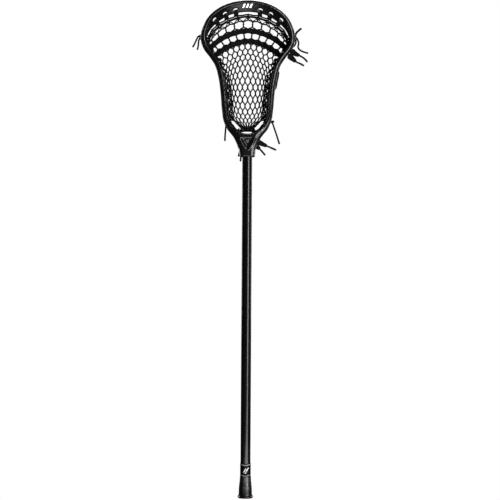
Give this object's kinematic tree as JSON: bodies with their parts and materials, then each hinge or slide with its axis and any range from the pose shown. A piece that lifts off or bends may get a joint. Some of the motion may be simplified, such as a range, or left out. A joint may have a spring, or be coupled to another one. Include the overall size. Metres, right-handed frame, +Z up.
{
  "type": "lacrosse stick",
  "caption": "Full-length field lacrosse stick: moulded open head with a strung diamond mesh pocket, screwed to a hollow octagonal alloy shaft with a rubber butt cap.",
  "frame": {"origin": "centre of the flat underside of the butt end cap", "axes": "+Z up the shaft towards the scoop of the head, +X to the right as the open ball side is faced, -Y out of the open ball side and +Y out of the back of the pocket"},
  "size_m": [0.2415, 0.0969, 1.016],
  "materials": {
    "head_nylon": "satin moulded nylon, black",
    "shaft_alloy": "black anodised alloy, semi-gloss",
    "cap_rubber": "matt black rubber",
    "decal_film": "printed vinyl film",
    "screw_steel": "zinc-plated screw",
    "stop_foam": "closed-cell foam",
    "pocket_mesh": "waxed nylon netting, black",
    "string_nylon": "waxed braided nylon, black",
    "lace_nylon": "flat woven nylon lace, black",
    "aglet_plastic": "clear-dark acetate tip"
  },
  "bodies": {
    "root": {"head": "head_nylon", "shaft": "shaft_alloy", "butt_decal": "decal_film", "end_cap": "cap_rubber", "head_screw": "screw_steel", "ball_stop_pad": "stop_foam", "mesh_pocket": "pocket_mesh", "top_string": "string_nylon", "sidewall_string_left": "string_nylon", "sidewall_string_right": "string_nylon", "bottom_string": "string_nylon", "shooting_string_upper": "lace_nylon", "shooting_string_lower": "lace_nylon", "knot_upper_left": "string_nylon", "knot_upper_right": "string_nylon", "knot_lower_right": "string_nylon", "aglet_throat_lower": "aglet_plastic", "aglet_throat_upper": "aglet_plastic", "aglet_upper_right_inner": "aglet_plastic", "aglet_upper_right_outer": "aglet_plastic", "lace_throat_lower": "lace_nylon", "lace_throat_upper": "lace_nylon", "lace_upper_right_inner": "lace_nylon", "lace_upper_right_outer": "lace_nylon", "tail_lower_left": "string_nylon", "tail_lower_right": "string_nylon", "tail_throat_left_long": "string_nylon", "tail_throat_left_short": "string_nylon", "tail_upper_left_long": "string_nylon", "tail_upper_left_short": "string_nylon", "tail_upper_right_long": "string_nylon", "tail_upper_right_loop": "string_nylon", "tail_upper_right_stub": "string_nylon"}
  },
  "joints": []
}
